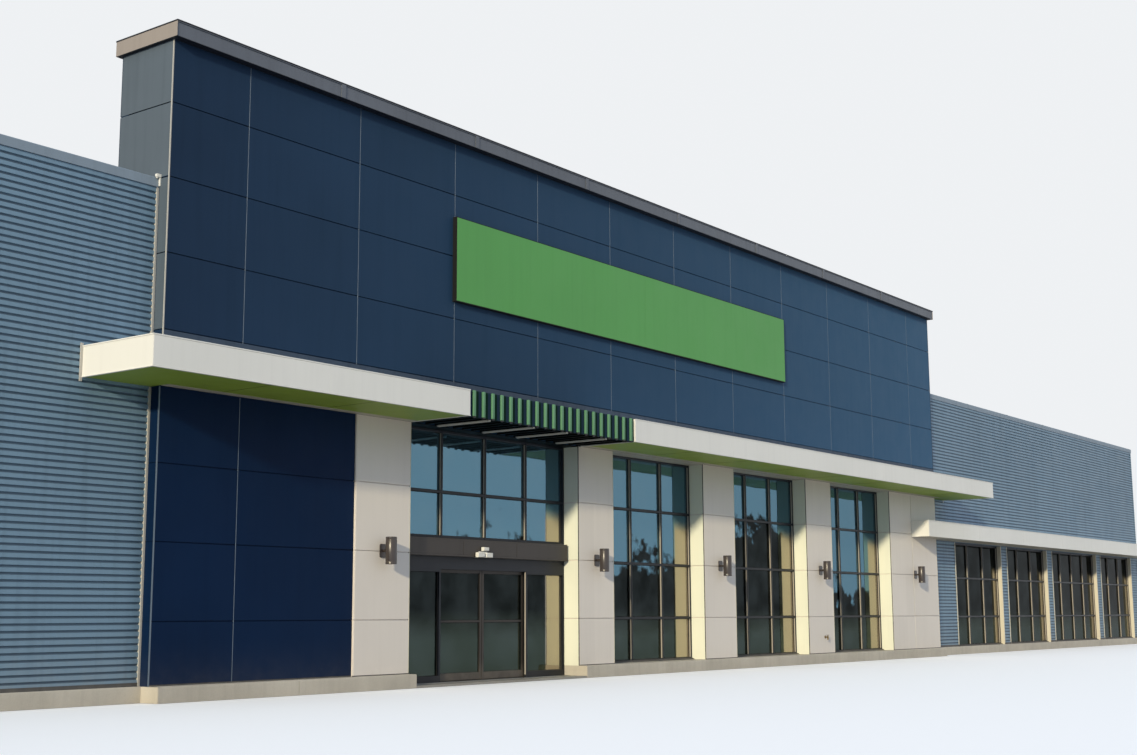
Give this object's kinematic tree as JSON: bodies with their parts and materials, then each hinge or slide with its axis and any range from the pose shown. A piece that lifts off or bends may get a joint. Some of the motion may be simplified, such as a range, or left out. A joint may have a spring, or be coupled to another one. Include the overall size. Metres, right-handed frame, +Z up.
{
  "type": "half-scale model of a supermarket building",
  "caption": "Single-storey supermarket building at half size, with a raised navy front, finned entrance canopy, shop windows, sliding doors and ribbed side wings.",
  "frame": {"origin": "on the ground, under the middle of the building's outline", "axes": "+Z up, +X to the right along the front as seen from outside, +Y from the front into the building"},
  "size_m": [36.17, 18.725, 5.318],
  "materials": {
    "concrete": "pale cast concrete",
    "floor_concrete": "trowelled concrete",
    "ribbed_siding": "ribbed coated steel, semi-gloss",
    "roof_membrane": "pale grey roofing membrane",
    "navy_panel": "navy composite panel, satin",
    "dark_coping": "grey coated metal",
    "wing_coping": "light blue-grey coated metal",
    "pier_panel": "warm white panel, matt",
    "window_bars": "near black coated aluminium",
    "glazing": "reflective blue-grey glass",
    "header_metal": "dark coated aluminium",
    "track_metal": "dark anodised aluminium",
    "door_frame": "dark anodised aluminium",
    "canopy_white": "off-white panel, matt",
    "soffit_green": "olive green soffit sheet",
    "soffit_grey": "pale grey soffit sheet",
    "baffle_black": "matt black metal",
    "fin_green": "leaf green coated metal",
    "light_diffuser": "opal light diffuser",
    "lamp_bronze": "dark bronze metal",
    "sign_green": "green sign panel, satin"
  },
  "bodies": {
    "building": {"floor_slab": "floor_concrete", "tower_kerb": "concrete", "wing_kerb": "concrete", "rear_kerb": "concrete", "left_wing_wall": "ribbed_siding", "right_wing_header": "ribbed_siding", "right_wing_piers": "ribbed_siding", "left_side_wall": "ribbed_siding", "right_side_wall": "ribbed_siding", "back_wall": "ribbed_siding", "roof_deck": "roof_membrane", "tower_face": "navy_panel", "tower_sides": "navy_panel", "tower_back": "navy_panel", "tower_coping": "dark_coping", "left_wing_coping": "wing_coping", "right_wing_coping": "wing_coping", "rear_coping": "wing_coping", "navy_wall": "navy_panel", "entrance_piers": "pier_panel", "bay_piers": "pier_panel", "corner_pier": "pier_panel", "window_frames": "window_bars", "window_glass": "glazing", "wing_window_frames": "window_bars", "wing_glass": "glazing", "entrance_frame": "window_bars", "sidelight_frames": "window_bars", "entrance_glass": "glazing", "entrance_header": "header_metal", "door_track": "track_metal", "canopy_left": "canopy_white", "canopy_right": "canopy_white", "canopy_soffits": "soffit_green", "fin_deck": "baffle_black", "canopy_fins": "fin_green", "light_bars": "light_diffuser", "low_canopy": "canopy_white", "low_soffit": "soffit_grey", "wall_lamps": "lamp_bronze", "sign_board": "sign_green"},
    "left_leaf": {"left_door": "door_frame", "left_door_glass": "glazing"},
    "right_leaf": {"right_door": "door_frame", "right_door_glass": "glazing"}
  },
  "joints": [
    {"name": "left_leaf_slide", "type": "slide", "parent": "building", "child": "left_leaf", "axis": [-1, 0, 0], "range_m": [0, 0.6]},
    {"name": "right_leaf_slide", "type": "slide", "parent": "building", "child": "right_leaf", "axis": [1, 0, 0], "range_m": [0, 0.6]}
  ],
  "couplings": [
    {"joint": "right_leaf_slide", "follows": "left_leaf_slide", "ratio": 1}
  ]
}
